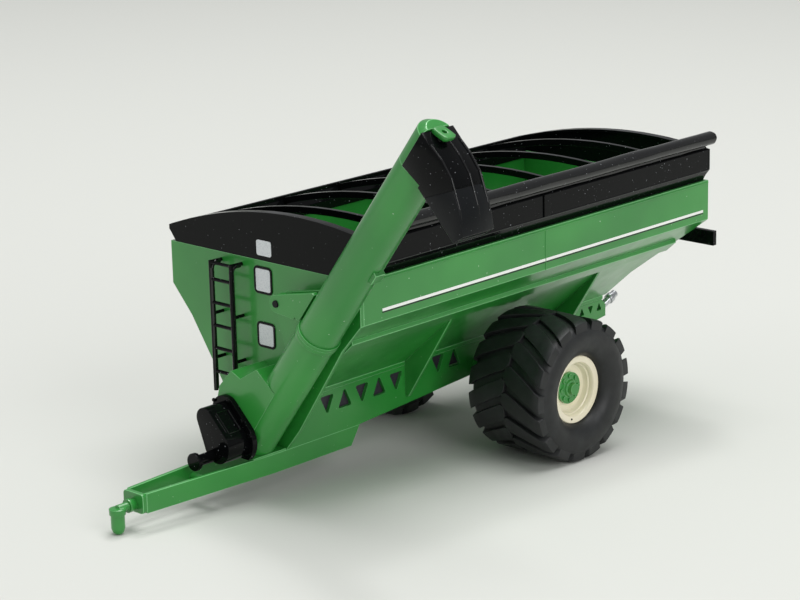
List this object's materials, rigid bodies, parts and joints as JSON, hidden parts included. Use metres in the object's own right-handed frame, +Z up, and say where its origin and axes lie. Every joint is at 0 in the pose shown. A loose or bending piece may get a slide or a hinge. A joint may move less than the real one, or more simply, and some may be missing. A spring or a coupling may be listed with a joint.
{
  "type": "scale-model grain cart",
  "caption": "Scale-model grain cart with a deep hopper, two lugged flotation tyres, a drawbar with hitch pin, and a corner auger that folds across the front.",
  "frame": {"origin": "middle of the straight part of the hitch pin", "axes": "+Z up along the hitch pin, +Y towards the cart's tail, +X towards its left side, where the auger discharges"},
  "size_m": [0.0959, 0.1531, 0.0843],
  "materials": {
    "green_paint": "gloss enamel",
    "black_gloss": "gloss moulded",
    "chute_black": "satin moulded",
    "cream_paint": "gloss enamel",
    "tyre_rubber": "satin",
    "bare_steel": "bright",
    "pane_grey": "satin print",
    "stripe_white": "satin print",
    "liner_dark": "matte print"
  },
  "bodies": {
    "cart": {"front_sheet": "green_paint", "side_sheet_left": "green_paint", "side_sheet_right": "green_paint", "rear_sheet": "green_paint", "hopper_floor": "green_paint", "hopper_rail_left": "green_paint", "hopper_rail_right": "green_paint", "gussets_left": "green_paint", "gussets_right": "green_paint", "frame_plate_left": "green_paint", "frame_plate_right": "green_paint", "frame_liner": "liner_dark", "frame_tail_plate": "green_paint", "tail_coupler": "bare_steel", "drawbar_rail_left": "green_paint", "drawbar_rail_right": "green_paint", "drawbar_nose": "green_paint", "drawbar_cross_tubes": "green_paint", "hitch_pin": "green_paint", "axle_tube": "green_paint", "axle_shaft": "bare_steel", "boot_base": "green_paint", "boot_housing": "green_paint", "gearbox_flange": "black_gloss", "gearbox": "black_gloss", "gearbox_bolts": "black_gloss", "pto_stub": "black_gloss", "lower_tube": "green_paint", "lower_flange": "green_paint", "fold_pin": "bare_steel", "ladder": "black_gloss", "ladder_standoffs": "black_gloss", "window_frames": "black_gloss", "window_panes": "pane_grey", "side_stripes": "stripe_white", "extension_left": "black_gloss", "extension_right": "black_gloss", "front_cap": "black_gloss", "rear_cap": "black_gloss", "bows": "black_gloss", "joint_strips": "black_gloss", "tarp_roll": "black_gloss", "tarp_roll_ends": "black_gloss", "light_bar": "black_gloss", "light_bar_brackets": "black_gloss"},
    "auger_top": {"upper_tube": "green_paint", "upper_flange": "green_paint", "auger_head_cap": "green_paint", "spout_hood": "black_gloss", "spout_chute": "chute_black", "spout_bracket": "green_paint", "saddle_clip": "green_paint"},
    "wheel_left": {"rim_left": "cream_paint", "tyre_left": "tyre_rubber", "hub_left": "green_paint", "wheel_bolts_left": "bare_steel"},
    "wheel_right": {"rim_right": "cream_paint", "tyre_right": "tyre_rubber", "hub_right": "green_paint", "wheel_bolts_right": "bare_steel"}
  },
  "joints": [
    {"name": "wheel_left_spin", "type": "hinge", "parent": "cart", "child": "wheel_left", "pos_m": [0.02474, 0.0975, 0.0085], "axis": [1, 0, 0], "continuous": true},
    {"name": "wheel_right_spin", "type": "hinge", "parent": "cart", "child": "wheel_right", "pos_m": [-0.02474, 0.0975, 0.0085], "axis": [1, 0, 0], "continuous": true},
    {"name": "auger_fold", "type": "hinge", "parent": "cart", "child": "auger_top", "pos_m": [0.0105, 0.0352, 0.0372], "axis": [0, -1, 0], "range_deg": [0, 125]}
  ]
}
